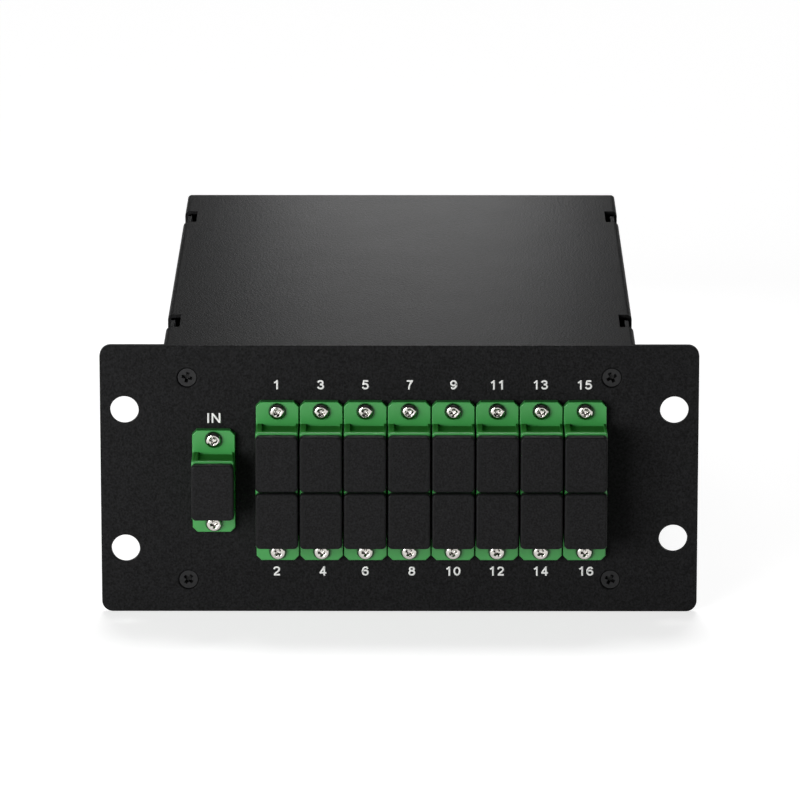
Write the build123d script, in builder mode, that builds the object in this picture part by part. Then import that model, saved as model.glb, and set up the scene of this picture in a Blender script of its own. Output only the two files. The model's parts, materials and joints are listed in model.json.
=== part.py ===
from build123d import *
import os

os.makedirs("parts", exist_ok=True)

# Fibre connector and the socket that takes it
connector_width = 7.3
connector_height = 9.0
connector_length = 24.0
socket_clearance = 0.15
socket_wall = 0.8
end_wall = 1.95
port_web = 3.4

# Adapters: one simplex for the input, a row of duplex ones for the outputs
output_columns = 8
simplex_port_count = 1
duplex_port_count = 2
flange_overhang = 0.05
flange_ear = 4.8
flange_thickness = 2.0
flange_corner = 1.05
flange_gap = 0.24
input_gap = 4.56
front_reach = 8.2
rear_reach = 14.0
front_socket_depth = 8.5
socket_floor = 2.5
rim_chamfer = 0.4
rim_length = 1.3
recess_depth = 0.5
recess_left_rib = 1.3
recess_right_rib = 0.6
keyway_height = 2.4
keyway_length = 5.0

# Pan-head screws that hold the adapters; so small and so many that they have few flats
shank_flat_count = 8
head_flat_count = 12
adapter_screw_radius = 1.0
adapter_screw_head_radius = 1.7
adapter_screw_head_height = 1.25
adapter_screw_length = 5.0
adapter_screw_setback = 2.75
adapter_screw_clearance = 0.1

# Dust caps
cap_side_gap = 0.34
cap_stack_gap = 0.3
cap_head_thickness = 2.0
cap_corner = 0.7
cap_edge = 0.4
cap_seat_gap = 0.1
cap_plug_length = 6.0
cap_plug_wall = 1.0
cap_plug_clearance = 0.2

# Front panel
panel_height = 59.7
panel_thickness = 1.5
panel_ear = 13.4
panel_corner_radius = 2.4
mount_hole_radius = 3.1
mount_hole_edge = 5.3
mount_hole_top_drop = 14.4
left_hole_span = 31.1
right_hole_span = 28.8
cutout_clearance = 0.2

# Folded sheet case: an open tray and a lipped cover over it
case_depth = 165.0
case_inset = 2.0
case_side_margin = 6.63
sheet = 0.8
bend_radius = 1.2
lip_clearance = 0.85
cover_fit = 0.15
flange_end_gap = 1.5
notch_depth = 3.0
notch_length = 11.9
notch_lip_cut = 3.0
front_notch_setback = 24.9
rear_notch_setback = 19.6
tab_length = 6.0
tab_fit = 0.15

# Countersunk screws that hold the panel to the case
panel_screw_radius = 1.25
panel_screw_head_radius = 2.0
panel_screw_length = 5.0
panel_screw_hole_radius = 1.4
countersink_radius = 2.35
countersink_angle = 90
countersink_fit = 0.05
panel_screw_side_inset = 5.55
thread_clearance = 0.03

# Fibre inside the case
connector_end_gap = 0.3
boot_length = 20.0
boot_root_width = 5.2
boot_root_height = 6.4
boot_tip = 2.4
lead_size = 0.9
lead_run = 35.0
lead_stagger = 6.0
lead_start_gap = 0.3
lead_rest_gap = 0.05
coil_length = 80.0
coil_band = 14.0
coil_height = 6.0
coil_side_gap = 3.0
coil_corner = 16.0
clip_wall = 1.2
clip_length = 8.0
clip_spread = 30.0
clip_clearance = 0.2
module_length = 54.0
module_width = 12.0
module_height = 4.0
module_boot_fit = 0.15
module_boot_inset = 0.6

# Sizes across the port field
socket_width = connector_width + 2 * socket_clearance
socket_height = connector_height + 2 * socket_clearance
body_width = socket_width + 2 * socket_wall
flange_width = body_width + 2 * flange_overhang
adapter_pitch = flange_width + flange_gap
port_pitch = socket_height + port_web
row_width = output_columns * adapter_pitch - flange_gap
field_width = row_width + input_gap + flange_width
case_width = field_width + 2 * case_side_margin
panel_width = case_width + 2 * panel_ear
row_centre_x = (field_width - row_width) / 2
input_x = (flange_width - field_width) / 2
first_column_x = row_centre_x - (row_width - flange_width) / 2
column_x = [first_column_x + k * adapter_pitch for k in range(output_columns)]

# Levels along Y, from the dust caps at the front to the rear of the case
front_depth = cap_head_thickness + cap_seat_gap + front_reach + flange_thickness
total_depth = front_depth + panel_thickness + case_depth
cap_face_y = -total_depth / 2
mouth_y = cap_face_y + cap_head_thickness + cap_seat_gap
flange_front_y = mouth_y + front_reach
panel_front_y = flange_front_y + flange_thickness
panel_back_y = panel_front_y + panel_thickness
case_rear_y = panel_back_y + case_depth
adapter_rear_y = panel_front_y + rear_reach
adapter_length = adapter_rear_y - mouth_y
rear_socket_depth = adapter_length - front_socket_depth - socket_floor
connector_front_y = adapter_rear_y - rear_socket_depth + connector_end_gap
connector_rear_y = connector_front_y + connector_length
boot_end_y = connector_rear_y + boot_length

# Levels along Z
panel_mid_z = panel_height / 2
case_bottom_z = case_inset
case_top_z = panel_height - case_inset
wall_top_z = case_top_z - bend_radius - cover_fit
floor_z = case_bottom_z + sheet
coil_top_z = floor_z + coil_height

# Sizes of the tray, which stands inside the cover's lips
tray_width = case_width - 2 * (sheet + cover_fit)
tray_rear_y = case_rear_y - sheet - cover_fit
tray_inner_width = tray_width - 2 * sheet
front_notch_y = panel_back_y + front_notch_setback + notch_length / 2
rear_notch_y = case_rear_y - rear_notch_setback - notch_length / 2
panel_screw_x = case_width / 2 - panel_screw_side_inset


def front_plane(y):
    # Upright plane facing the front, with its origin at the panel's mid-height
    return Plane(origin=(0, y, panel_mid_z), x_dir=(1, 0, 0), z_dir=(0, -1, 0))


def body_height(ports):
    return (ports - 1) * port_pitch + socket_height + 2 * end_wall


def screw_rise(ports):
    return body_height(ports) / 2 + adapter_screw_setback


def port_rises(ports):
    return [port_pitch * ((ports - 1) / 2 - k) for k in range(ports)]


# The front lips end short of the adapter screws, and the panel screws enter them at mid-depth
case_half_height = panel_mid_z - case_inset
lip_drop = case_half_height - screw_rise(duplex_port_count) - adapter_screw_radius - lip_clearance
panel_screw_rise = case_half_height - lip_drop / 2

# Every adapter screw, as x and height from the panel's mid-height
screw_spots = [(input_x, side * screw_rise(simplex_port_count)) for side in (1, -1)]
screw_spots += [(x, side * screw_rise(duplex_port_count)) for x in column_x for side in (1, -1)]

# Every port, named as it is marked on the panel: odd numbers above, even ones below
port_spots = {"in": (input_x, 0.0)}
for column, x in enumerate(column_x):
    for row, rise in enumerate(port_rises(duplex_port_count)):
        port_spots[str(duplex_port_count * column + row + 1)] = (x, rise)


with BuildPart() as front_panel:
    with BuildSketch(front_plane(panel_back_y)):
        RectangleRounded(panel_width, panel_height, panel_corner_radius)
        hole_x = panel_width / 2 - mount_hole_edge
        hole_top = panel_mid_z - mount_hole_top_drop
        with Locations((-hole_x, hole_top), (-hole_x, hole_top - left_hole_span)):
            Circle(mount_hole_radius, mode=Mode.SUBTRACT)
        with Locations((hole_x, hole_top), (hole_x, hole_top - right_hole_span)):
            Circle(mount_hole_radius, mode=Mode.SUBTRACT)
        with Locations((input_x, 0)):
            cutout_width = body_width + 2 * cutout_clearance
            cutout_height = body_height(simplex_port_count) + 2 * cutout_clearance
            Rectangle(cutout_width, cutout_height, mode=Mode.SUBTRACT)
        with Locations((row_centre_x, 0)):
            window_width = row_width - 2 * flange_overhang + 2 * cutout_clearance
            window_height = body_height(duplex_port_count) + 2 * cutout_clearance
            Rectangle(window_width, window_height, mode=Mode.SUBTRACT)
        with Locations(*screw_spots):
            RegularPolygon(adapter_screw_radius + thread_clearance, shank_flat_count, mode=Mode.SUBTRACT)
    extrude(amount=panel_thickness)
    with Locations(front_plane(panel_front_y)):
        with GridLocations(2 * panel_screw_x, 2 * panel_screw_rise, 2, 2):
            CounterSinkHole(panel_screw_hole_radius, countersink_radius, counter_sink_angle=countersink_angle)
front_panel.part.label = "front_panel"
export_step(front_panel.part, "parts/front_panel.step")


with BuildPart() as base_tray:
    with BuildSketch(Plane.XY.offset(case_bottom_z)):
        with Locations((0, (panel_back_y + tray_rear_y) / 2)):
            Rectangle(tray_width, tray_rear_y - panel_back_y)
    extrude(amount=wall_top_z - case_bottom_z)
    floor_folds = base_tray.edges().group_by(Axis.Z)[0].sort_by(Axis.Y)[1:]
    fillet(floor_folds, radius=bend_radius)
    open_faces = [base_tray.faces().sort_by(Axis.Z)[-1], base_tray.faces().sort_by(Axis.Y)[0]]
    offset(amount=-sheet, openings=open_faces)
    # Screw flange folded up at the front of the floor
    with BuildSketch(front_plane(panel_back_y)):
        with Locations((0, case_bottom_z - panel_mid_z)):
            flange_span = tray_inner_width - 2 * flange_end_gap
            Rectangle(flange_span, lip_drop, align=(Align.CENTER, Align.MIN))
        with Locations((-panel_screw_x, -panel_screw_rise), (panel_screw_x, -panel_screw_rise)):
            Circle(panel_screw_radius + thread_clearance, mode=Mode.SUBTRACT)
    extrude(amount=-sheet)
    # Corner reliefs for the cover's front lip
    with Locations((0, panel_back_y, wall_top_z)):
        relief_size = (case_width, sheet + cover_fit, lip_drop - bend_radius)
        Box(*relief_size, align=(Align.CENTER, Align.MIN, Align.MAX), mode=Mode.SUBTRACT)
    for y in (front_notch_y, rear_notch_y):
        tab_front_y = y - notch_length / 2 + tab_fit
        for side in (-1, 1):
            wall_x = side * (tray_width - sheet) / 2
            # Tongue that stands in the front half of the notch, flush with the cover
            with Locations((wall_x, tab_front_y, wall_top_z)):
                Box(sheet, tab_length, case_top_z - wall_top_z, align=(Align.CENTER, Align.MIN, Align.MIN))
            # Wall cut low behind the tongue
            with Locations((wall_x, tab_front_y + tab_length, wall_top_z)):
                low_length = notch_length - tab_length - tab_fit
                low_align = (Align.CENTER, Align.MIN, Align.MAX)
                Box(2 * sheet, low_length, notch_lip_cut, align=low_align, mode=Mode.SUBTRACT)
base_tray.part.label = "base_tray"
export_step(base_tray.part, "parts/base_tray.step")


with BuildPart() as top_cover:
    with BuildSketch(Plane.XY.offset(case_top_z)):
        with Locations((0, (panel_back_y + case_rear_y) / 2)):
            Rectangle(case_width, case_depth)
    extrude(amount=-lip_drop)
    top_folds = top_cover.edges().group_by(Axis.Z)[-1].sort_by(Axis.Y)[1:]
    fillet(top_folds, radius=bend_radius)
    offset(amount=-sheet, openings=top_cover.faces().sort_by(Axis.Z)[0])
    notch_mid_y = (front_notch_y + rear_notch_y) / 2
    with Locations((0, notch_mid_y, case_top_z)):
        with GridLocations(case_width, rear_notch_y - front_notch_y, 2, 2):
            Box(2 * notch_depth, notch_length, 2 * notch_lip_cut, mode=Mode.SUBTRACT)
    with BuildSketch(front_plane(panel_back_y)):
        with Locations((-panel_screw_x, panel_screw_rise), (panel_screw_x, panel_screw_rise)):
            Circle(panel_screw_radius + thread_clearance)
    extrude(amount=-sheet, mode=Mode.SUBTRACT)
top_cover.part.label = "top_cover"
export_step(top_cover.part, "parts/top_cover.step")


with BuildPart() as panel_screws:
    head_drop = countersink_radius - panel_screw_head_radius - countersink_fit
    head_top_y = panel_front_y + head_drop
    head_height = panel_screw_head_radius - panel_screw_radius
    seat_align = (Align.CENTER, Align.CENTER, Align.MAX)
    with Locations(front_plane(head_top_y)):
        with GridLocations(2 * panel_screw_x, 2 * panel_screw_rise, 2, 2):
            Cone(panel_screw_radius, panel_screw_head_radius, head_height, align=seat_align)
    with Locations(front_plane(head_top_y + head_height)):
        with GridLocations(2 * panel_screw_x, 2 * panel_screw_rise, 2, 2):
            Cylinder(panel_screw_radius, panel_screw_length - head_height, align=seat_align)
panel_screws.part.label = "panel_screws"
export_step(panel_screws.part, "parts/panel_screws.step")


with BuildPart() as adapter_screws:
    with BuildSketch(front_plane(flange_front_y)):
        with Locations(*screw_spots):
            RegularPolygon(adapter_screw_radius, shank_flat_count)
    extrude(amount=-adapter_screw_length)
    with BuildSketch(front_plane(flange_front_y)):
        with Locations(*screw_spots):
            RegularPolygon(adapter_screw_head_radius, head_flat_count)
    extrude(amount=adapter_screw_head_height)
adapter_screws.part.label = "adapter_screws"
export_step(adapter_screws.part, "parts/adapter_screws.step")


def build_adapter(name, x, ports):
    height = body_height(ports)
    rises = port_rises(ports)
    with BuildPart() as adapter:
        with BuildSketch(front_plane(mouth_y)):
            with Locations((x, 0)):
                Rectangle(body_width, height)
        extrude(amount=-adapter_length)
        chamfer(adapter.faces().sort_by(Axis.Y)[0].edges(), length=rim_chamfer)
        # Shallow recess between the flange and the rim, above and below
        recess_width = body_width - recess_left_rib - recess_right_rib
        recess_x = x + (recess_left_rib - recess_right_rib) / 2
        with BuildSketch(front_plane(mouth_y + rim_length)):
            with Locations((recess_x, height / 2), (recess_x, -height / 2)):
                Rectangle(recess_width, 2 * recess_depth)
        extrude(amount=-(front_reach - rim_length), mode=Mode.SUBTRACT)
        with BuildSketch(front_plane(flange_front_y)):
            with Locations((x, 0)):
                flange = Rectangle(flange_width, height + 2 * flange_ear)
            chamfer(flange.vertices(), length=flange_corner)
        extrude(amount=-flange_thickness)
        with BuildSketch(front_plane(flange_front_y)):
            with Locations((x, screw_rise(ports)), (x, -screw_rise(ports))):
                RegularPolygon(adapter_screw_radius + adapter_screw_clearance, shank_flat_count)
        extrude(amount=-flange_thickness, mode=Mode.SUBTRACT)
        # Sockets for the outer plugs at the front and the inner connectors at the rear
        with BuildSketch(front_plane(mouth_y)):
            with Locations(*[(x, rise) for rise in rises]):
                Rectangle(socket_width, socket_height)
        extrude(amount=-front_socket_depth, mode=Mode.SUBTRACT)
        with BuildSketch(front_plane(adapter_rear_y)):
            with Locations(*[(x, rise) for rise in rises]):
                Rectangle(socket_width, socket_height)
        extrude(amount=rear_socket_depth, mode=Mode.SUBTRACT)
        # Keyways through the right-hand wall
        with BuildSketch(front_plane(mouth_y)):
            with Locations(*[(x, rise) for rise in rises]):
                Rectangle(body_width, keyway_height, align=(Align.MIN, Align.CENTER))
        extrude(amount=-keyway_length, mode=Mode.SUBTRACT)
    adapter.part.label = name
    export_step(adapter.part, f"parts/{name}.step")


build_adapter("input_adapter", input_x, simplex_port_count)
for column, x in enumerate(column_x):
    build_adapter(f"duplex_adapter_{column + 1}", x, duplex_port_count)


def build_cap(name, x, rise):
    with BuildPart() as cap:
        with BuildSketch(front_plane(cap_face_y)):
            with Locations((x, rise)):
                head = Rectangle(adapter_pitch - cap_side_gap, port_pitch - cap_stack_gap)
            chamfer(head.vertices(), length=cap_corner)
        extrude(amount=-cap_head_thickness)
        chamfer(cap.faces().sort_by(Axis.Y)[0].edges(), length=cap_edge)
        # Hollow plug that fills the socket
        plug_width = socket_width - 2 * cap_plug_clearance
        plug_height = socket_height - 2 * cap_plug_clearance
        hollow_width = plug_width - 2 * cap_plug_wall
        hollow_height = plug_height - 2 * cap_plug_wall
        with BuildSketch(front_plane(cap_face_y + cap_head_thickness)):
            with Locations((x, rise)):
                Rectangle(plug_width, plug_height)
                Rectangle(hollow_width, hollow_height, mode=Mode.SUBTRACT)
        extrude(amount=-cap_plug_length)
    cap.part.label = name
    export_step(cap.part, f"parts/{name}.step")


def build_connector(name, x, rise):
    with BuildPart() as connector:
        with BuildSketch(front_plane(connector_front_y)):
            with Locations((x, rise)):
                Rectangle(connector_width, connector_height)
        extrude(amount=-connector_length)
        # Tapered bend boot
        side_draw = (boot_root_width - boot_tip) / 2
        end_draw = (boot_root_height - boot_tip) / 2
        boot_far = (side_draw, end_draw, side_draw + boot_tip, end_draw + boot_tip)
        boot_align = (Align.CENTER, Align.MIN, Align.CENTER)
        with Locations((x, connector_rear_y, panel_mid_z + rise)):
            Wedge(boot_root_width, boot_length, boot_root_height, *boot_far, align=boot_align)
    connector.part.label = name
    export_step(connector.part, f"parts/{name}.step")


for port, (x, rise) in port_spots.items():
    build_cap(f"dust_cap_{port}", x, rise)
    build_connector(f"connector_{port}", x, rise)


def build_leads(name, spots):
    with BuildPart() as leads:
        for x, rise in spots:
            start = Vector(x, boot_end_y + lead_start_gap, panel_mid_z + rise)
            landing_y = boot_end_y + lead_run + lead_stagger * rise / port_pitch
            end = Vector(x, landing_y, coil_top_z + lead_size / 2 + lead_rest_gap)
            with BuildSketch(Plane(origin=start, x_dir=(1, 0, 0), z_dir=end - start)):
                Rectangle(lead_size, lead_size)
            extrude(amount=(end - start).length)
    leads.part.label = name
    export_step(leads.part, f"parts/{name}.step")


build_leads("input_lead", [port_spots["in"]])
build_leads("output_leads", [spot for port, spot in port_spots.items() if port != "in"])


# The coil's front run lies under the ends of the leads
coil_mid_y = boot_end_y + lead_run + (coil_length - coil_band) / 2
coil_width = tray_inner_width - 2 * coil_side_gap
coil_run_x = (coil_width - coil_band) / 2
eye_width = coil_width - 2 * coil_band

with BuildPart() as fibre_coil:
    with BuildSketch(Plane.XY.offset(floor_z)):
        with Locations((0, coil_mid_y)):
            RectangleRounded(coil_width, coil_length, coil_corner)
            Rectangle(eye_width, coil_length - 2 * coil_band, mode=Mode.SUBTRACT)
    extrude(amount=coil_height)
fibre_coil.part.label = "fibre_coil"
export_step(fibre_coil.part, "parts/fibre_coil.step")


with BuildPart() as fibre_clips:
    for y in (coil_mid_y - clip_spread / 2, coil_mid_y + clip_spread / 2):
        with BuildSketch(Plane(origin=(0, y, floor_z), x_dir=(1, 0, 0), z_dir=(0, -1, 0))):
            with Locations((-coil_run_x, 0), (coil_run_x, 0)):
                clip_inner = coil_band + 2 * clip_clearance
                clip_rise = coil_height + clip_clearance
                saddle_align = (Align.CENTER, Align.MIN)
                Rectangle(clip_inner + 2 * clip_wall, clip_rise + clip_wall, align=saddle_align)
                Rectangle(clip_inner, clip_rise, align=saddle_align, mode=Mode.SUBTRACT)
        extrude(amount=clip_length / 2, both=True)
fibre_clips.part.label = "fibre_clips"
export_step(fibre_clips.part, "parts/fibre_clips.step")


with BuildPart() as plc_module:
    with BuildSketch(Plane.XY.offset(floor_z)):
        with Locations((0, coil_mid_y)):
            Rectangle(module_length, module_width)
    extrude(amount=module_height)
plc_module.part.label = "plc_module"
export_step(plc_module.part, "parts/plc_module.step")


with BuildPart() as module_boots:
    module_boot_length = (eye_width - module_length) / 2 - module_boot_fit
    for side in (-1, 1):
        end_middle = (side * module_length / 2, coil_mid_y, floor_z + module_height / 2)
        end_plane = Plane(origin=end_middle, x_dir=(0, 1, 0), z_dir=(side, 0, 0))
        with BuildSketch(end_plane):
            Rectangle(module_width - 2 * module_boot_inset, module_height - 2 * module_boot_inset)
        extrude(amount=module_boot_length)
module_boots.part.label = "module_boots"
export_step(module_boots.part, "parts/module_boots.step")
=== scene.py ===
import bpy
import bmesh
import json
import math
from mathutils import Matrix, Vector


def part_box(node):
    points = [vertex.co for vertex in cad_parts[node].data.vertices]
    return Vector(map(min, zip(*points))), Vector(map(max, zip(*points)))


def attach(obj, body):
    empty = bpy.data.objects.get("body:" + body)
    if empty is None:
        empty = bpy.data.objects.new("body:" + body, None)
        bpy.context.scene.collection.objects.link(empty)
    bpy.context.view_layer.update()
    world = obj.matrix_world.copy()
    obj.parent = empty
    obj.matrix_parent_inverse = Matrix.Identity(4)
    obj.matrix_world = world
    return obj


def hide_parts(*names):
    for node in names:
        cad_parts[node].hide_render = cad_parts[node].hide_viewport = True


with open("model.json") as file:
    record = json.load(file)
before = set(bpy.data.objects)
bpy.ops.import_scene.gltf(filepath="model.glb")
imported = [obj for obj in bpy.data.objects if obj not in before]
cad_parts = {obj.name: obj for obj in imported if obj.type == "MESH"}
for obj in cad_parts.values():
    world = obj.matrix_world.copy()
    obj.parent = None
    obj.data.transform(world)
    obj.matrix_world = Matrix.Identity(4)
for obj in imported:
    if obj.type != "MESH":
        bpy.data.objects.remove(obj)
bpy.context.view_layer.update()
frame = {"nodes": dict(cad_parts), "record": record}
nodes = frame["nodes"]
mm = 0.001
mainBody = "splitter"
outputCount = 16
duplexCount = 8
ports = ["in"] + [str(number) for number in range(1, outputCount + 1)]
past = 1.0        # mm that a cutter runs on past what it cuts
samePlace = 1e-6  # m, points this close count as one
print("frame loaded, nodes:", len(nodes))


def toLinear(hexColour):
    channels = [int(hexColour[i:i + 2], 16) / 255 for i in (1, 3, 5)]
    return [c / 12.92 if c <= 0.04045 else ((c + 0.055) / 1.055) ** 2.4 for c in channels] + [1.0]


def addNode(tree, kind, values=None, links=None, **settings):
    node = tree.nodes.new(kind)
    for name, value in settings.items():
        setattr(node, name, value)
    for socket, value in (values or {}).items():
        node.inputs[socket].default_value = value
    for socket, source in (links or {}).items():
        tree.links.new(source, node.inputs[socket])
    return node


def newMaterial(name):
    material = bpy.data.materials.new(name)
    material.use_nodes = True
    material.node_tree.nodes.clear()
    return material, material.node_tree


def onlyThis(piece):
    bpy.ops.object.select_all(action="DESELECT")
    piece.select_set(True)
    bpy.context.view_layer.objects.active = piece


def addBlock(low, high):
    # a cube between two corners, in mm
    bpy.ops.object.select_all(action="DESELECT")
    middle = [(a + b) / 2 * mm for a, b in zip(low, high)]
    bpy.ops.mesh.primitive_cube_add(size=1, location=middle)
    block = bpy.context.object
    block.scale = [(b - a) * mm for a, b in zip(low, high)]
    bpy.ops.object.transform_apply(location=True, rotation=True, scale=True)
    return block


def addRound(radius, front, back, backRadius=None, sides=48):
    # a cylinder or cone along Y, in mm
    bpy.ops.object.select_all(action="DESELECT")
    backRadius = radius if backRadius is None else backRadius
    bpy.ops.mesh.primitive_cone_add(vertices=sides, radius1=radius * mm, radius2=backRadius * mm,
                                    depth=(back - front) * mm, location=(0, (front + back) / 2 * mm, 0),
                                    rotation=(-math.pi / 2, 0, 0))
    bpy.ops.object.transform_apply(location=True, rotation=True, scale=True)
    return bpy.context.object


def pick(piece, kind, test):
    # edit mode, with only the faces or edges selected that pass the test
    onlyThis(piece)
    bpy.ops.object.mode_set(mode="EDIT")
    bpy.ops.mesh.select_mode(type=kind)
    bpy.ops.mesh.select_all(action="DESELECT")
    shape = bmesh.from_edit_mesh(piece.data)
    for part in (shape.faces if kind == "FACE" else shape.edges):
        if test(part):
            part.select_set(True)
    shape.select_flush_mode()
    bmesh.update_edit_mesh(piece.data)


def alongY(edge):
    step = edge.verts[1].co - edge.verts[0].co
    return abs(step.y) > 0.99 * step.length


def atY(place):
    # parts that lie in one upright plane, in mm
    return lambda part: all(abs(v.co.y - place * mm) < samePlace for v in part.verts)


def roundPicked(width, segments):
    bpy.ops.mesh.bevel(offset=width * mm, segments=segments, profile=0.5, affect="EDGES", clamp_overlap=True)
    bpy.ops.object.mode_set(mode="OBJECT")


def combine(piece, other, operation="DIFFERENCE"):
    onlyThis(piece)
    step = piece.modifiers.new("combine", "BOOLEAN")
    step.object = other
    step.operation = operation
    step.solver = "EXACT"
    bpy.ops.object.modifier_apply(modifier=step.name)
    bpy.data.objects.remove(other, do_unlink=True)
    return piece


def soften(piece, width, segments=2, angle=40):
    # breaks the edges that are still sharp, then smooths what is round
    onlyThis(piece)
    step = piece.modifiers.new("soften", "BEVEL")
    step.width = width * mm
    step.segments = segments
    step.limit_method = "ANGLE"
    step.angle_limit = math.radians(angle)
    bpy.ops.object.modifier_apply(modifier=step.name)
    return smoothFlats(piece, angle)


def smoothFlats(piece, angle=40):
    # rounds shade smoothly, flats stay flat
    onlyThis(piece)
    bpy.ops.object.shade_smooth_by_angle(angle=math.radians(angle))
    step = piece.modifiers.new("evenNormals", "WEIGHTED_NORMAL")
    step.keep_sharp = True
    bpy.ops.object.modifier_apply(modifier=step.name)
    return piece


def placedCopy(piece, name, place, turn=0.0):
    copy = piece.copy()
    copy.data = piece.data.copy()
    copy.name = copy.data.name = name
    bpy.context.scene.collection.objects.link(copy)
    copy.data.transform(Matrix.Translation(place) @ Matrix.Rotation(turn, 4, "Y"))
    return copy


def joinAll(pieces, name):
    bpy.ops.object.select_all(action="DESELECT")
    for piece in pieces:
        piece.select_set(True)
    bpy.context.view_layer.objects.active = pieces[0]
    bpy.ops.object.join()
    pieces[0].name = pieces[0].data.name = name
    return pieces[0]


def dress(piece, material, slotName, body, *stoodFor):
    piece.data.materials.clear()
    piece.data.materials.append(material)
    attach(piece, body)
    if stoodFor:
        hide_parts(*stoodFor)
    return piece


# camera: a long lens a little above the ports, square on to the panel
cameraSetup = {
    "target": (0.14, -77.1, 47.6),  # mm
    "distance": 1377.5,             # mm
    "elevation": 13.914,            # degrees
    "yaw": 0.149,                   # degrees
    "lens": 285.7, "sensor": 36,    # mm
    "clip": (0.05, 30),             # m
}


def makeCamera(setup):
    bpy.ops.object.camera_add()
    camera = bpy.context.object
    camera.name = "productCamera"
    camera.data.lens = setup["lens"]
    camera.data.sensor_width = setup["sensor"]
    camera.data.clip_start, camera.data.clip_end = setup["clip"]
    pitch = math.radians(setup["elevation"])
    yaw = math.radians(setup["yaw"])
    look = Vector((-math.sin(yaw) * math.cos(pitch), math.cos(yaw) * math.cos(pitch), -math.sin(pitch)))
    camera.location = (Vector(setup["target"]) - look * setup["distance"]) * mm
    camera.rotation_euler = (math.pi / 2 - pitch, 0, yaw)
    bpy.context.scene.camera = camera


makeCamera(cameraSetup)
print("camera set")


# polyester powder coat on folded steel: matt black, a fine pebbled skin, a soft sheen at low angles;
# such pebbles are usually finer, about 0.15 mm, and are drawn coarser so that they show; lengths in mm
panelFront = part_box("front_panel")[0].y / mm
powderLook = {
    "dark": "#0b0b0b", "light": "#1f1f20", "grain": 0.42, "contrast": (0.3, 0.7), "pebble": 0.12,
    "roughness": 0.5, "cloud": 12.0, "unevenness": 0.015, "specular": 0.06,
    "thinInkAndConeShade": "#020202", "coneMiddle": panelFront + 0.85, "coneReach": 0.7, "coneSlope": 0.707, "slopeReach": 0.1,
}


def powderCoatedSteel(look):
    material, tree = newMaterial("powderCoatedSteel")
    place = addNode(tree, "ShaderNodeTexCoord").outputs["Object"]
    grain = addNode(tree, "ShaderNodeTexNoise", {"Scale": 1 / (look["grain"] * mm), "Detail": 2.0}, {"Vector": place})
    cloud = addNode(tree, "ShaderNodeTexNoise", {"Scale": 1 / (look["cloud"] * mm), "Detail": 2.0}, {"Vector": place})
    start, end = look["contrast"]
    pebble = addNode(tree, "ShaderNodeMapRange", {"From Min": start, "From Max": end},
                     {"Value": grain.outputs["Fac"]})
    colour = addNode(tree, "ShaderNodeMix", {6: toLinear(look["dark"]), 7: toLinear(look["light"])},
                     {0: pebble.outputs["Result"]}, data_type="RGBA")
    low, high = look["roughness"] - look["unevenness"], look["roughness"] + look["unevenness"]
    rough = addNode(tree, "ShaderNodeMapRange", {"To Min": low, "To Max": high}, {"Value": cloud.outputs["Fac"]})
    bump = addNode(tree, "ShaderNodeBump", {"Strength": 1.0, "Distance": look["pebble"] * mm},
                   {"Height": grain.outputs["Fac"]})
    # painted shade: the countersinks round the screw heads are coloured near-black where shade falls in them
    along = addNode(tree, "ShaderNodeSeparateXYZ", links={"Vector": place}).outputs["Y"]
    deep = addNode(tree, "ShaderNodeMath", {1: look["coneMiddle"] * mm, 2: look["coneReach"] * mm}, {0: along},
                   operation="COMPARE")
    facing = addNode(tree, "ShaderNodeNewGeometry").outputs["Normal"]
    slope = addNode(tree, "ShaderNodeSeparateXYZ", links={"Vector": facing}).outputs["Y"]
    slope = addNode(tree, "ShaderNodeMath", links={0: slope}, operation="ABSOLUTE").outputs[0]
    cone = addNode(tree, "ShaderNodeMath", {1: look["coneSlope"], 2: look["slopeReach"]}, {0: slope},
                   operation="COMPARE")
    cone = addNode(tree, "ShaderNodeMath", links={0: cone.outputs[0], 1: deep.outputs[0]}, operation="MULTIPLY")
    colour = addNode(tree, "ShaderNodeMix", {7: toLinear(look["thinInkAndConeShade"])}, {0: cone.outputs[0], 6: colour.outputs[2]},
                     data_type="RGBA")
    surface = addNode(tree, "ShaderNodeBsdfPrincipled", {"Specular IOR Level": look["specular"]},
                      {"Base Color": colour.outputs[2], "Roughness": rough.outputs["Result"],
                       "Normal": bump.outputs["Normal"]})
    addNode(tree, "ShaderNodeOutputMaterial", links={"Surface": surface.outputs["BSDF"]})
    return material


# polyethylene, moulded in a spark-eroded tool: soft black, even matt grain, no clear highlight;
# such a grain is usually finer, about 0.1 mm, and is drawn coarser so that it shows; lengths in mm
capLook = {"dark": "#0d0d0d", "light": "#1f1f20", "grain": 0.36, "contrast": (0.3, 0.7), "bump": 0.8,
           "bumpDepth": 0.03, "roughness": 0.42, "specular": 0.08}


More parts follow.
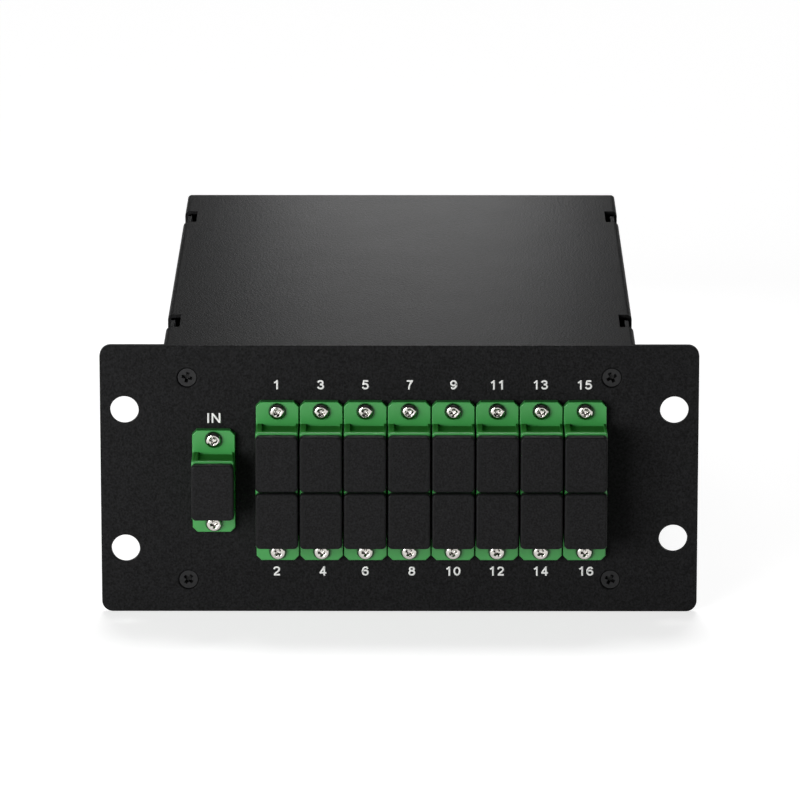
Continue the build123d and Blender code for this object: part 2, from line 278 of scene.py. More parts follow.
def matPolyethylene(look):
    material, tree = newMaterial("matPolyethylene")
    place = addNode(tree, "ShaderNodeTexCoord").outputs["Object"]
    grain = addNode(tree, "ShaderNodeTexNoise", {"Scale": 1 / (look["grain"] * mm), "Detail": 2.0}, {"Vector": place})
    start, end = look["contrast"]
    speck = addNode(tree, "ShaderNodeMapRange", {"From Min": start, "From Max": end},
                    {"Value": grain.outputs["Fac"]})
    colour = addNode(tree, "ShaderNodeMix", {6: toLinear(look["dark"]), 7: toLinear(look["light"])},
                     {0: speck.outputs["Result"]}, data_type="RGBA")
    bump = addNode(tree, "ShaderNodeBump", {"Strength": look["bump"], "Distance": look["bumpDepth"] * mm},
                   {"Height": grain.outputs["Fac"]})
    surface = addNode(tree, "ShaderNodeBsdfPrincipled",
                      {"Specular IOR Level": look["specular"], "Roughness": look["roughness"]},
                      {"Base Color": colour.outputs[2], "Normal": bump.outputs["Normal"]})
    addNode(tree, "ShaderNodeOutputMaterial", links={"Surface": surface.outputs["BSDF"]})
    return material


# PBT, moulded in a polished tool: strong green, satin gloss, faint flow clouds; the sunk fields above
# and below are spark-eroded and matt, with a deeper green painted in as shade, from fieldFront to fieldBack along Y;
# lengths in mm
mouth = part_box("duplex_adapter_1")[0].y / mm
adapterLook = {
    "deep": "#388a42", "bright": "#3d964a", "cloud": 6.0, "roughness": 0.3, "unevenness": 0.04,
    "skin": 0.5, "skinBump": 0.06, "skinDepth": 0.02, "ior": 1.6, "specular": 0.35,
    "field": "#0a7c0c", "fieldFront": mouth + 0.45, "fieldBack": mouth + 8.1, "fieldSlope": 0.8,
    "fieldRoughness": 0.95,
}


def greenPbt(look):
    material, tree = newMaterial("greenPbt")
    place = addNode(tree, "ShaderNodeTexCoord").outputs["Object"]
    cloud = addNode(tree, "ShaderNodeTexNoise", {"Scale": 1 / (look["cloud"] * mm), "Detail": 3.0}, {"Vector": place})
    skin = addNode(tree, "ShaderNodeTexNoise", {"Scale": 1 / (look["skin"] * mm), "Detail": 1.0}, {"Vector": place})
    colour = addNode(tree, "ShaderNodeMix", {6: toLinear(look["deep"]), 7: toLinear(look["bright"])},
                     {0: cloud.outputs["Fac"]}, data_type="RGBA")
    low, high = look["roughness"] - look["unevenness"], look["roughness"] + look["unevenness"]
    rough = addNode(tree, "ShaderNodeMapRange", {"To Min": low, "To Max": high}, {"Value": cloud.outputs["Fac"]})
    along = addNode(tree, "ShaderNodeSeparateXYZ", links={"Vector": place}).outputs["Y"]
    middle, reach = (look["fieldFront"] + look["fieldBack"]) / 2, (look["fieldBack"] - look["fieldFront"]) / 2
    inside = addNode(tree, "ShaderNodeMath", {1: middle * mm, 2: reach * mm}, {0: along}, operation="COMPARE")
    facing = addNode(tree, "ShaderNodeNewGeometry").outputs["Normal"]
    upright = addNode(tree, "ShaderNodeSeparateXYZ", links={"Vector": facing}).outputs["Z"]
    level = addNode(tree, "ShaderNodeMath", links={0: upright}, operation="ABSOLUTE")
    level = addNode(tree, "ShaderNodeMath", {1: look["fieldSlope"]}, {0: level.outputs[0]}, operation="GREATER_THAN")
    field = addNode(tree, "ShaderNodeMath", links={0: inside.outputs[0], 1: level.outputs[0]}, operation="MULTIPLY")
    rough = addNode(tree, "ShaderNodeMix", {3: look["fieldRoughness"]},
                    {0: field.outputs[0], 2: rough.outputs["Result"]}, data_type="FLOAT")
    # painted shade: the sunk fields take a darker green than the rest of the body
    colour = addNode(tree, "ShaderNodeMix", {7: toLinear(look["field"])},
                     {0: field.outputs[0], 6: colour.outputs[2]}, data_type="RGBA")
    bump = addNode(tree, "ShaderNodeBump", {"Strength": look["skinBump"], "Distance": look["skinDepth"] * mm},
                   {"Height": skin.outputs["Fac"]})
    surface = addNode(tree, "ShaderNodeBsdfPrincipled", {"IOR": look["ior"], "Specular IOR Level": look["specular"]},
                      {"Base Color": colour.outputs[2], "Roughness": rough.outputs[0],
                       "Normal": bump.outputs["Normal"]})
    addNode(tree, "ShaderNodeOutputMaterial", links={"Surface": surface.outputs["BSDF"]})
    return material


# bright nickel on steel: near-mirror, a little haze from barrel plating; lengths in mm
nickelLook = {"colour": "#cbc8c2", "side": "#1c1b1a", "sideFrom": 0.3, "sideTo": 0.62,
              "haze": 0.6, "hazeBump": 0.08, "hazeDepth": 0.02, "smoothest": 0.07, "roughest": 0.2}


def brightNickel(look):
    material, tree = newMaterial("brightNickel")
    place = addNode(tree, "ShaderNodeTexCoord").outputs["Object"]
    haze = addNode(tree, "ShaderNodeTexNoise", {"Scale": 1 / (look["haze"] * mm), "Detail": 3.0}, {"Vector": place})
    rough = addNode(tree, "ShaderNodeMapRange", {"To Min": look["smoothest"], "To Max": look["roughest"]},
                    {"Value": haze.outputs["Fac"]})
    bump = addNode(tree, "ShaderNodeBump", {"Strength": look["hazeBump"], "Distance": look["hazeDepth"] * mm},
                   {"Height": haze.outputs["Fac"]})
    # painted shade and dark reflection: the rim of the head is coloured dark, only its crown keeps the bright nickel
    # colour
    facing = addNode(tree, "ShaderNodeNewGeometry").outputs["Normal"]
    ahead = addNode(tree, "ShaderNodeSeparateXYZ", links={"Vector": facing}).outputs["Y"]
    ahead = addNode(tree, "ShaderNodeMath", links={0: ahead}, operation="ABSOLUTE").outputs[0]
    crown = addNode(tree, "ShaderNodeMapRange", {"From Min": look["sideFrom"], "From Max": look["sideTo"]},
                    {"Value": ahead}, interpolation_type="SMOOTHSTEP")
    colour = addNode(tree, "ShaderNodeMix", {6: toLinear(look["side"]), 7: toLinear(look["colour"])},
                     {0: crown.outputs["Result"]}, data_type="RGBA")
    surface = addNode(tree, "ShaderNodeBsdfPrincipled", {"Metallic": 1.0},
                      {"Base Color": colour.outputs[2], "Roughness": rough.outputs["Result"],
                       "Normal": bump.outputs["Normal"]})
    addNode(tree, "ShaderNodeOutputMaterial", links={"Surface": surface.outputs["BSDF"]})
    return material


# black oxide on steel: near-black, oily satin, worn a little lighter in patches; lengths in mm
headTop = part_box("panel_screws")[0].y / mm
oxideLook = {"dark": "#0f0f10", "worn": "#252526", "patch": 0.8, "smoothest": 0.3, "roughest": 0.46, "specular": 0.2,
             "pit": "#040404", "pitFrom": headTop + 0.08, "pitTo": headTop + 0.3}


def blackOxide(look):
    material, tree = newMaterial("blackOxideSteel")
    place = addNode(tree, "ShaderNodeTexCoord").outputs["Object"]
    patch = addNode(tree, "ShaderNodeTexNoise", {"Scale": 1 / (look["patch"] * mm), "Detail": 4.0}, {"Vector": place})
    colour = addNode(tree, "ShaderNodeMix", {6: toLinear(look["dark"]), 7: toLinear(look["worn"])},
                     {0: patch.outputs["Fac"]}, data_type="RGBA")
    rough = addNode(tree, "ShaderNodeMapRange", {"To Min": look["smoothest"], "To Max": look["roughest"]},
                    {"Value": patch.outputs["Fac"]})
    # painted shade: the cross recess is coloured darker from just below the top of the head
    along = addNode(tree, "ShaderNodeSeparateXYZ", links={"Vector": place}).outputs["Y"]
    pit = addNode(tree, "ShaderNodeMapRange", {"From Min": look["pitFrom"] * mm, "From Max": look["pitTo"] * mm},
                  {"Value": along})
    colour = addNode(tree, "ShaderNodeMix", {7: toLinear(look["pit"])},
                     {0: pit.outputs["Result"], 6: colour.outputs[2]}, data_type="RGBA")
    surface = addNode(tree, "ShaderNodeBsdfPrincipled", {"Specular IOR Level": look["specular"]},
                      {"Base Color": colour.outputs[2], "Roughness": rough.outputs["Result"]})
    addNode(tree, "ShaderNodeOutputMaterial", links={"Surface": surface.outputs["BSDF"]})
    return material


# epoxy screen ink: flat white, a trace of the screen's mesh, in mm
inkLook = {"white": "#f4f4f2", "thinInkAndConeShade": "#dcdcda", "mesh": 0.25, "roughness": 0.55}


def screenInk(look):
    material, tree = newMaterial("whiteScreenInk")
    place = addNode(tree, "ShaderNodeTexCoord").outputs["Object"]
    mesh = addNode(tree, "ShaderNodeTexNoise", {"Scale": 1 / (look["mesh"] * mm), "Detail": 2.0}, {"Vector": place})
    colour = addNode(tree, "ShaderNodeMix", {6: toLinear(look["thinInkAndConeShade"]), 7: toLinear(look["white"])},
                     {0: mesh.outputs["Fac"]}, data_type="RGBA")
    surface = addNode(tree, "ShaderNodeBsdfPrincipled", {"Roughness": look["roughness"]},
                      {"Base Color": colour.outputs[2]})
    addNode(tree, "ShaderNodeOutputMaterial", links={"Surface": surface.outputs["BSDF"]})
    return material


powder = powderCoatedSteel(powderLook)
capBlack = matPolyethylene(capLook)
green = greenPbt(adapterLook)
nickel = brightNickel(nickelLook)
oxide = blackOxide(oxideLook)
ink = screenInk(inkLook)
print("main materials made")


# sheet metal: the solids' own shape with its cut edges broken
sheetEdges = {"front_panel": 0.12, "base_tray": 0.1, "top_cover": 0.1}


def makeSheetPiece(name, edge):
    piece = nodes[name].copy()
    piece.data = nodes[name].data.copy()
    piece.name = piece.data.name = name + "_coated"
    for key in list(piece.keys()):
        del piece[key]
    piece.parent = None
    bpy.context.scene.collection.objects.link(piece)
    onlyThis(piece)
    bpy.ops.object.mode_set(mode="EDIT")
    bpy.ops.mesh.select_all(action="SELECT")
    bpy.ops.mesh.remove_doubles(threshold=samePlace)
    bpy.ops.mesh.dissolve_limited(angle_limit=math.radians(0.5))
    bpy.ops.object.mode_set(mode="OBJECT")
    soften(piece, edge)
    return dress(piece, powder, "powder_coat", mainBody, name)


for name, edge in sheetEdges.items():
    makeSheetPiece(name, edge)
print("sheet metal made")


# dust cap: a flat head with rounded corners and edges on a hollow plug, mm, y from its face
capShape = {"thickness": 2.0, "corner": 1.0, "edge": 0.45, "backEdge": 0.15,
            "plugWidth": 7.2, "plugHeight": 8.9, "plugLength": 6.0, "plugRoot": 0.3,
            "plugCorner": 0.4, "plugEdge": 0.3, "plugWall": 1.0, "hollowCorner": 0.3}


def makeCap(shape):
    low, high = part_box("dust_cap_1")
    w, h, t = (high.x - low.x) / 2 / mm, (high.z - low.z) / 2 / mm, shape["thickness"]
    cap = addBlock((-w, 0, -h), (w, t, h))
    pick(cap, "EDGE", alongY)
    roundPicked(shape["corner"], 5)
    pick(cap, "EDGE", atY(0))
    roundPicked(shape["edge"], 5)
    pick(cap, "EDGE", atY(t))
    roundPicked(shape["backEdge"], 2)
    pw, ph, wall = shape["plugWidth"] / 2, shape["plugHeight"] / 2, shape["plugWall"]
    plug = addBlock((-pw, t - shape["plugRoot"], -ph), (pw, t + shape["plugLength"], ph))
    pick(plug, "EDGE", alongY)
    roundPicked(shape["plugCorner"], 3)
    pick(plug, "EDGE", atY(t + shape["plugLength"]))
    roundPicked(shape["plugEdge"], 2)
    hollow = addBlock((-pw + wall, t, -ph + wall), (pw - wall, t + shape["plugLength"] + past, ph - wall))
    pick(hollow, "EDGE", alongY)
    roundPicked(shape["hollowCorner"], 3)
    combine(plug, hollow)
    combine(cap, plug, "UNION")
    return smoothFlats(cap)


capMaster = makeCap(capShape)
for port in ports:
    low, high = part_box("dust_cap_" + port)
    place = Vector(((low.x + high.x) / 2, low.y, (low.z + high.z) / 2))
    cap = placedCopy(capMaster, "cap_" + port + "_moulded", place)
    dress(cap, capBlack, "cap_black", "cap_" + port, "dust_cap_" + port)
bpy.data.objects.remove(capMaster, do_unlink=True)
print("dust caps made")


# adapter: body with a rim and a shallow recess, a flange with cut corners, keyed sockets, mm, y from its mouth
adapterShape = {
    "width": 9.2, "length": 24.2, "corner": 0.45, "edge": 0.08, "rim": 0.4, "rimLength": 1.3,
    "recess": 0.5, "recessCorner": 0.3, "leftRib": 1.3, "rightRib": 0.6,
    "flangeWidth": 9.3, "flangeFront": 8.2, "flangeThickness": 2.0, "flangeEar": 4.8,
    "flangeCorner": 1.05, "flangeEdge": 0.2,
    "socketWidth": 7.6, "socketHeight": 9.3, "frontDepth": 8.5, "floor": 2.5,
    "portPitch": 12.7, "endWall": 1.95, "keyHeight": 2.4, "keyLength": 5.0,
    "screwSetback": 2.75, "screwHole": 1.1, "seatRadius": 1.9, "seatDepth": 0.5,
}


def makeAdapter(shape, portCount):
    height = (portCount - 1) * shape["portPitch"] + shape["socketHeight"] + 2 * shape["endWall"]
    w, h = shape["width"] / 2, height / 2
    rear = shape["length"]
    body = addBlock((-w, 0, -h), (w, rear, h))
    pick(body, "EDGE", alongY)
    roundPicked(shape["corner"], 4)
    pick(body, "EDGE", atY(0))
    roundPicked(shape["rim"], 4)
    # shallow recess behind the rim, above and below
    flangeFront = shape["flangeFront"]
    for side in (-1, 1):
        levels = sorted((side * (h - shape["recess"]), side * (h + past)))
        recess = addBlock((-w + shape["leftRib"], shape["rimLength"], levels[0]),
                          (w - shape["rightRib"], flangeFront + past, levels[1]))
        pick(recess, "EDGE", lambda edge: not alongY(edge) and edge.calc_length() > 1 * mm
             and all(abs(v.co.z) < h * mm for v in edge.verts))
        roundPicked(shape["recessCorner"], 3)
        combine(body, recess)
    # flange
    fw, fh, through = shape["flangeWidth"] / 2, h + shape["flangeEar"], shape["flangeThickness"]
    flange = addBlock((-fw, flangeFront, -fh), (fw, flangeFront + through, fh))
    pick(flange, "EDGE", alongY)
    roundPicked(shape["flangeCorner"], 1)
    pick(flange, "EDGE", atY(flangeFront))
    roundPicked(shape["flangeEdge"], 3)
    for side in (-1, 1):
        for radius, depth in ((shape["screwHole"], through + past), (shape["seatRadius"], shape["seatDepth"])):
            hole = addRound(radius, flangeFront - past, flangeFront + depth)
            hole.data.transform(Matrix.Translation((0, 0, side * (h + shape["screwSetback"]) * mm)))
            combine(flange, hole)
    combine(body, flange, "UNION")
    # sockets at both ends, and keyways through the right-hand wall
    sw, sh = shape["socketWidth"] / 2, shape["socketHeight"] / 2
    for index in range(portCount):
        z = shape["portPitch"] * ((portCount - 1) / 2 - index)
        combine(body, addBlock((-sw, -past, z - sh), (sw, shape["frontDepth"], z + sh)))
        combine(body, addBlock((-sw, shape["frontDepth"] + shape["floor"], z - sh), (sw, rear + past, z + sh)))
        key = shape["keyHeight"] / 2
        combine(body, addBlock((0, -past, z - key), (w + past, shape["keyLength"], z + key)))
    return soften(body, shape["edge"])


simplexMaster = makeAdapter(adapterShape, 1)
duplexMaster = makeAdapter(adapterShape, 2)
screwPlaces = []
for name in ["input_adapter"] + ["duplex_adapter_" + str(number) for number in range(1, duplexCount + 1)]:
    low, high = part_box(name)
    master = simplexMaster if name == "input_adapter" else duplexMaster
    place = Vector(((low.x + high.x) / 2, low.y, (low.z + high.z) / 2))
    adapter = placedCopy(master, name + "_moulded", place)
    dress(adapter, green, "adapter_green", mainBody, name)
    inset = (adapterShape["flangeEar"] - adapterShape["screwSetback"]) * mm
    y = low.y + adapterShape["flangeFront"] * mm
    screwPlaces += [Vector((place.x, y, high.z - inset)), Vector((place.x, y, low.z + inset))]
for master in (simplexMaster, duplexMaster):
    bpy.data.objects.remove(master, do_unlink=True)
print("adapters made")


# cross recess: the share of a blade's reach and width that is left at its bottom,
# and how far the cutter stands out in front, mm
crossTaper = {"reach": 0.4, "width": 0.7, "lead": 0.5}


def addCross(reach, width, front, bottom):
    # cutter of two blades that taper to the bottom, mm
    blades = []
    for across, along in ((reach, width), (width, reach)):
        blade = addBlock((-across / 2, front - crossTaper["lead"], -along / 2), (across / 2, bottom, along / 2))
        pick(blade, "FACE", atY(bottom))
        shrink = [crossTaper["reach" if side == reach else "width"] for side in (across, along)]
        bpy.ops.transform.resize(value=(shrink[0], 1, shrink[1]), center_override=(0, bottom * mm, 0))
        bpy.ops.object.mode_set(mode="OBJECT")
        blades.append(blade)
    return combine(blades[0], blades[1], "UNION")


# pan-head screws that hold the adapters, mm, y from the underside of the head
panScrew = {"headRadius": 1.68, "headHeight": 1.25, "dome": 0.62, "seat": 0.5, "shankRadius": 1.0, "length": 5.0,
            "shankRoot": 0.1, "edge": 0.05, "crossReach": 2.2, "crossWidth": 0.62, "crossDepth": 1.0,
            "turns": (20, 68, 41, 5, 77, 33, 58, 14, 84), "turnStep": 11}


def makePanScrew(shape):
    front = -shape["headHeight"]
    head = addRound(shape["headRadius"], front, shape["seat"])
    pick(head, "EDGE", atY(front))
    roundPicked(shape["dome"], 7)
    combine(head, addCross(shape["crossReach"], shape["crossWidth"], front, front + shape["crossDepth"]))
    combine(head, addRound(shape["shankRadius"], -shape["shankRoot"], shape["length"], sides=24), "UNION")
    return soften(head, shape["edge"], 1)


screwMaster = makePanScrew(panScrew)
turns = panScrew["turns"]
screws = [placedCopy(screwMaster, "panScrew", place, math.radians(turns[k % len(turns)] + panScrew["turnStep"] * k))
          for k, place in enumerate(screwPlaces)]
bpy.data.objects.remove(screwMaster, do_unlink=True)
dress(joinAll(screws, "adapter_screws_nickel"), nickel, "nickel_screw", mainBody, "adapter_screws")
print("adapter screws made:", len(screwPlaces))


# countersunk screws that hold the panel, mm, y from the top of the head
flatScrew = {"headRadius": 2.0, "headHeight": 0.75, "shankRadius": 1.25, "length": 5.0,
             "shankRoot": 0.1, "edge": 0.06, "crossReach": 2.9, "crossWidth": 0.8, "crossDepth": 1.1,
             "turns": (12, 40, 63, 28)}


def makeFlatScrew(shape):
    head = addRound(shape["headRadius"], 0, shape["headHeight"], shape["shankRadius"])
    shank = addRound(shape["shankRadius"], shape["headHeight"] - shape["shankRoot"], shape["length"], sides=32)
    combine(head, shank, "UNION")
    combine(head, addCross(shape["crossReach"], shape["crossWidth"], 0, shape["crossDepth"]))
    return soften(head, shape["edge"])


screwMaster = makeFlatScrew(flatScrew)
low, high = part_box("panel_screws")
edge = flatScrew["headRadius"] * mm
corners = [(x, z) for x in (low.x + edge, high.x - edge) for z in (high.z - edge, low.z + edge)]
screws = [placedCopy(screwMaster, "flatScrew", Vector((x, low.y, z)), math.radians(turn))
          for (x, z), turn in zip(corners, flatScrew["turns"])]
bpy.data.objects.remove(screwMaster, do_unlink=True)
dress(joinAll(screws, "panel_screws_black"), oxide, "black_screw", mainBody, "panel_screws")
print("panel screws made")


# white print on the panel, mm; each sign is a set of strokes in a box one unit high
printLook = {
    "height": 2.08, "stroke": 0.185, "advance": 0.85, "thickness": 0.02, "layer": 0.0008,
    "levels": {"odd": 51.0, "even": 9.12, "in": 43.55}, "inHeight": 2.2, "inAdvance": 0.42,
    "oddX": (-26.75, -17.06, -7.36, 2.28, 11.8, 21.15, 30.67, 40.23),
    "evenX": (-26.77, -16.7, -7.42, 2.74, 11.8, 21.3, 30.89, 40.81),
    "inX": -40.25,
}
sixStrokes = [[(0.62, 0.73), (0.54, 0.86), (0.39, 0.905), (0.17, 0.76), (0.095, 0.45), (0.16, 0.2), (0.37, 0.095),
               (0.57, 0.17), (0.645, 0.335), (0.57, 0.5), (0.39, 0.575), (0.2, 0.5), (0.12, 0.36)]]
signs = {
    "0": [[(0.37, 0.905), (0.58, 0.76), (0.645, 0.5), (0.58, 0.24), (0.37, 0.095), (0.16, 0.24), (0.095, 0.5),
           (0.16, 0.76), (0.37, 0.905)]],
    "1": [[(0.42, 0), (0.42, 1)], [(0.42, 0.93), (0.3, 0.8), (0.12, 0.7)]],
    "2": [[(0.1, 0.68), (0.16, 0.84), (0.37, 0.905), (0.57, 0.83), (0.63, 0.68), (0.54, 0.5), (0.3, 0.29),
           (0.12, 0.1)], [(0.06, 0.0925), (0.7, 0.0925)]],
    "3": [[(0.1, 0.73), (0.19, 0.86), (0.37, 0.905), (0.55, 0.84), (0.6, 0.72), (0.52, 0.58), (0.3, 0.535)],
          [(0.3, 0.535), (0.55, 0.47), (0.645, 0.3), (0.57, 0.15), (0.37, 0.095), (0.17, 0.15), (0.09, 0.29)]],
    "4": [[(0.52, 0), (0.52, 1)], [(0.55, 0.97), (0.08, 0.3)], [(0.04, 0.3), (0.73, 0.3)]],
    "5": [[(0.17, 0.9075), (0.66, 0.9075)], [(0.23, 0.95), (0.14, 0.47)],
          [(0.13, 0.49), (0.24, 0.58), (0.38, 0.605), (0.57, 0.52), (0.645, 0.34), (0.57, 0.16), (0.37, 0.095),
           (0.17, 0.15), (0.09, 0.28)]],
    "6": sixStrokes,
    "7": [[(0.07, 0.9075), (0.7, 0.9075)], [(0.64, 0.9), (0.47, 0.66), (0.35, 0.36), (0.3, 0)]],
    "8": [[(0.37, 0.905), (0.54, 0.84), (0.595, 0.72), (0.54, 0.6), (0.37, 0.54), (0.2, 0.6), (0.145, 0.72),
           (0.2, 0.84), (0.37, 0.905)],
          [(0.37, 0.54), (0.57, 0.46), (0.645, 0.31), (0.57, 0.16), (0.37, 0.095), (0.17, 0.16), (0.095, 0.31),
           (0.17, 0.46), (0.37, 0.54)]],
    "9": [[(0.74 - x, 1 - y) for x, y in sixStrokes[0]]],
    "I": [[(0.1, 0), (0.1, 1)]],
    "N": [[(0.1, 0), (0.1, 1)], [(0.11, 0.95), (0.79, 0.05)], [(0.8, 0), (0.8, 1)]],
}


def makeWord(word, x, level, height):
    # ribbons of ink along the strokes, centred on the word's own box
    nib = bpy.data.curves.new("nib", "CURVE")
    nib.dimensions = "2D"
    corner = nib.splines.new("POLY")
    corner.points.add(3)
    half, depth = printLook["stroke"] / 2 * height * mm, printLook["thickness"] / 2 * mm
    for point, (a, b) in zip(corner.points, ((-half, -depth), (half, -depth), (half, depth), (-half, depth))):
        point.co = (a, b, 0, 1)
    corner.use_cyclic_u = True
    nibPiece = bpy.data.objects.new("nib", nib)
    bpy.context.scene.collection.objects.link(nibPiece)
    strokes = []
    step = printLook["inAdvance" if word == "IN" else "advance"]
    for place, sign in enumerate(word):
        for line in signs[sign]:
            stroke = bpy.data.curves.new("stroke", "CURVE")
            stroke.dimensions = "2D"
            stroke.fill_mode = "NONE"
            stroke.bevel_mode = "OBJECT"
            stroke.bevel_object = nibPiece
            stroke.use_fill_caps = True
            stroke.resolution_u = 6
            spline = stroke.splines.new("BEZIER")
            spline.bezier_points.add(len(line) - 1)
            for point, (a, b) in zip(spline.bezier_points, line):
                # each stroke lies a hair prouder than the one before, so none share a face
                point.co = ((a + place * step) * height * mm, b * height * mm, len(strokes) * printLook["layer"] * mm)
                point.handle_left_type = point.handle_right_type = "AUTO" if len(line) > 2 else "VECTOR"
            piece = bpy.data.objects.new("stroke", stroke)
            bpy.context.scene.collection.objects.link(piece)
            onlyThis(piece)
            bpy.ops.object.convert(target="MESH")
            strokes.append(bpy.context.object)
    bpy.data.objects.remove(nibPiece, do_unlink=True)
    lettering = joinAll(strokes, "word_" + word)
    xs = [v.co.x for v in lettering.data.vertices]
    shift = (x * mm - (min(xs) + max(xs)) / 2, panelFront * mm - depth, (level - height / 2) * mm)
    lettering.data.transform(Matrix.Translation(shift) @ Matrix.Rotation(math.pi / 2, 4, "X"))
    return lettering


words = [makeWord("IN", printLook["inX"], printLook["levels"]["in"], printLook["inHeight"])]
for number in range(1, outputCount + 1):
    row = "odd" if number % 2 else "even"
    x = printLook[row + "X"][(number - 1) // 2]
    words.append(makeWord(str(number), x, printLook["levels"][row], printLook["height"]))
dress(joinAll(words, "port_print"), ink, None, mainBody)
print("print made")


# what the case hides: moulded and drawn pieces, each with a faint mottling
innerLooks = {
    "connector_green": {"name": "connectorPbt", "dark": "#0f7d31", "light": "#15913d", "roughness": 0.35},
    "fibre_jacket": {"name": "fibreJacketPvc", "dark": "#e6e2d6", "light": "#f1eee4", "roughness": 0.45},
    "clip_white": {"name": "nylonClip", "dark": "#d9d9d3", "light": "#ecece6", "roughness": 0.5},
    "module_metal": {"name": "moduleSteel", "dark": "#b4b6b8", "light": "#c6c8ca", "roughness": 0.32,
                     "metallic": 1.0},
    "boot_rubber": {"name": "bootRubber", "dark": "#141414", "light": "#1f1f1f", "roughness": 0.7},
}
innerMottle = {"size": 2.0, "unevenness": 0.05}  # size in mm


def innerMaterial(look):
    material, tree = newMaterial(look["name"])
    place = addNode(tree, "ShaderNodeTexCoord").outputs["Object"]
    mottle = addNode(tree, "ShaderNodeTexNoise", {"Scale": 1 / (innerMottle["size"] * mm), "Detail": 3.0},
                     {"Vector": place})
    colour = addNode(tree, "ShaderNodeMix", {6: toLinear(look["dark"]), 7: toLinear(look["light"])},
                     {0: mottle.outputs["Fac"]}, data_type="RGBA")
    low, high = look["roughness"] - innerMottle["unevenness"], look["roughness"] + innerMottle["unevenness"]
    rough = addNode(tree, "ShaderNodeMapRange", {"To Min": low, "To Max": high}, {"Value": mottle.outputs["Fac"]})
    surface = addNode(tree, "ShaderNodeBsdfPrincipled", {"Metallic": look.get("metallic", 0.0)},
                      {"Base Color": colour.outputs[2], "Roughness": rough.outputs["Result"]})
    addNode(tree, "ShaderNodeOutputMaterial", links={"Surface": surface.outputs["BSDF"]})
    return material


innerMaterials = {slotName: innerMaterial(look) for slotName, look in innerLooks.items()}
for part in frame["record"]["subparts"]:
    if part["material_slot"] in innerMaterials:
        inner = nodes[part["node"]]
        inner.data.materials.clear()
        inner.data.materials.append(innerMaterials[part["material_slot"]])
print("inner pieces coloured")


# floor and light: pale floor that keeps a soft shadow, a key near the lens, a soft high light from behind,
# a small lamp that grazes the cover, low fills for the sides and back, and a faint dome over the back
floorLook = {"colour": "#cbcbcb", "glow": 0.665, "size": 16.0, "drop": 0.0002}  # size and drop in m


def makeFloor(look):
    bpy.ops.object.select_all(action="DESELECT")
    bpy.ops.mesh.primitive_plane_add(size=look["size"], location=(0, 0, -look["drop"]))
    floor = bpy.context.object
    floor.name = "floor"
    material, tree = newMaterial("whiteFloor")
    path = addNode(tree, "ShaderNodeLightPath").outputs
    seen = addNode(tree, "ShaderNodeMath", links={0: path["Is Camera Ray"], 1: path["Is Glossy Ray"]},
                   operation="ADD")
    seen = addNode(tree, "ShaderNodeMath", links={0: seen.outputs[0], 1: path["Is Transmission Ray"]},
                   operation="ADD", use_clamp=True)
    strength = addNode(tree, "ShaderNodeMath", {1: look["glow"]}, {0: seen.outputs[0]}, operation="MULTIPLY")
    glow = addNode(tree, "ShaderNodeEmission", links={"Strength": strength.outputs[0]})
    paint = addNode(tree, "ShaderNodeBsdfDiffuse", {"Color": toLinear(look["colour"])})
    both = addNode(tree, "ShaderNodeAddShader", links={0: paint.outputs["BSDF"], 1: glow.outputs["Emission"]})
    addNode(tree, "ShaderNodeOutputMaterial", links={"Surface": both.outputs["Shader"]})
    floor.data.materials.append(material)


# places and sizes in m, power in W; a light with a spread, in degrees, is a sun, with its power in W/m2
lightSetup = {
    "key": {"place": (-0.394, -0.653, 0.164), "aim": (0, -0.09, 0.03), "size": (0.45, 0.3), "power": 5.1},
    "back": {"place": (0.0, 0.438, 0.899), "aim": (0, 0, 0), "spread": 20, "power": 1.45},
    "sheen": {"place": (0.003, 0.225, 0.105), "aim": (0, 0.04, 0.058), "size": (0.08, 0.05), "power": 0.05},
}
for side, x in (("Left", -0.853), ("Right", 0.853)):
    lightSetup["fill" + side] = {"place": (x, 0.492, 0.174), "aim": (0, 0, 0), "spread": 40, "power": 1.9,
                                 "sparesFloor": True}


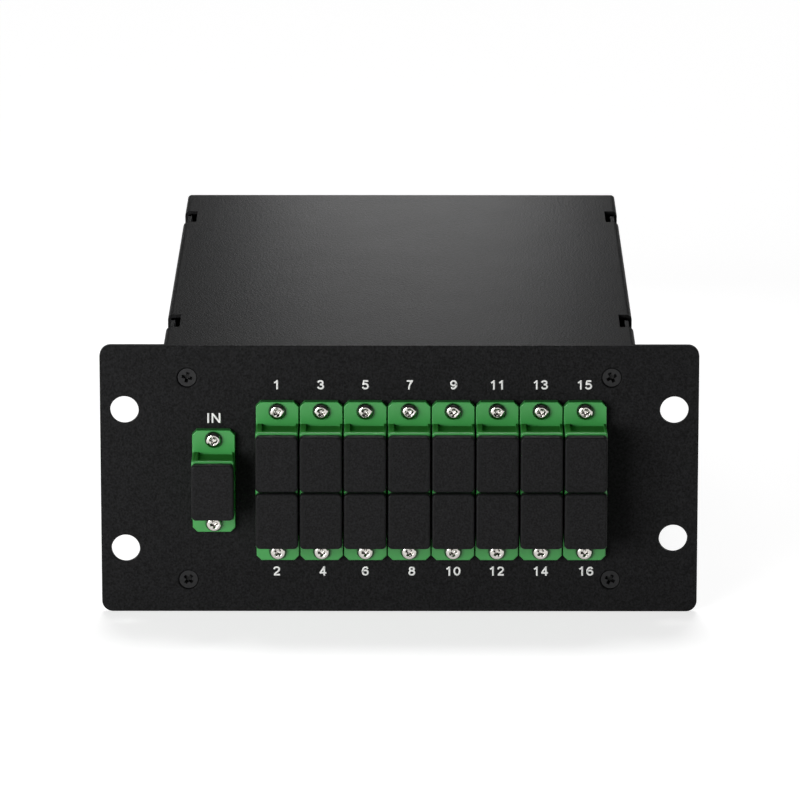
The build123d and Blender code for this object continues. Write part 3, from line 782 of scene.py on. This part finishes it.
def makeLight(name, setup):
    kind = "SUN" if "spread" in setup else "AREA"
    bpy.ops.object.light_add(type=kind, location=setup["place"])
    lamp = bpy.context.object
    lamp.name = name + "Light"
    lamp.data.energy = setup["power"]
    lamp.rotation_euler = (Vector(setup["aim"]) - Vector(setup["place"])).to_track_quat("-Z", "Y").to_euler()
    lamp.visible_camera = False
    if kind == "SUN":
        lamp.data.angle = math.radians(setup["spread"])
    else:
        lamp.data.shape = "RECTANGLE"
        lamp.data.size, lamp.data.size_y = setup["size"]
    if "sparesFloor" in setup:
        # lights the case alone, so no second shadow falls
        spared = bpy.data.collections.new(name + "Spared")
        spared.objects.link(bpy.data.objects["floor"])
        spared.collection_objects[0].light_linking.link_state = "EXCLUDE"
        lamp.light_linking.receiver_collection = spared


# the dome fades in from side to back and from the horizon up
domeLook = {"colour": "#ffffff", "strength": 0.8, "ambient": 0.025, "back": (0.0, 0.5), "rise": (0.6, 0.95)}


def makeWorld(look):
    world = bpy.data.worlds.new("studio")
    bpy.context.scene.world = world
    world.use_nodes = True
    tree = world.node_tree
    tree.nodes.clear()
    way = addNode(tree, "ShaderNodeTexCoord").outputs["Generated"]
    way = addNode(tree, "ShaderNodeSeparateXYZ", links={"Vector": way}).outputs
    fades = [addNode(tree, "ShaderNodeMapRange", {"From Min": start, "From Max": end}, {"Value": way[axis]},
                     interpolation_type="SMOOTHSTEP")
             for axis, (start, end) in (("Y", look["back"]), ("Z", look["rise"]))]
    dome = addNode(tree, "ShaderNodeMath", links={0: fades[0].outputs["Result"], 1: fades[1].outputs["Result"]},
                   operation="MULTIPLY")
    level = addNode(tree, "ShaderNodeMath", {1: look["strength"], 2: look["ambient"]}, {0: dome.outputs[0]},
                    operation="MULTIPLY_ADD")
    sky = addNode(tree, "ShaderNodeBackground", {"Color": toLinear(look["colour"])}, {"Strength": level.outputs[0]})
    addNode(tree, "ShaderNodeOutputWorld", links={"Surface": sky.outputs["Background"]})


makeFloor(floorLook)
for name, setup in lightSetup.items():
    makeLight(name, setup)
makeWorld(domeLook)
bpy.context.scene.view_settings.view_transform = "Standard"
print("floor and light set")
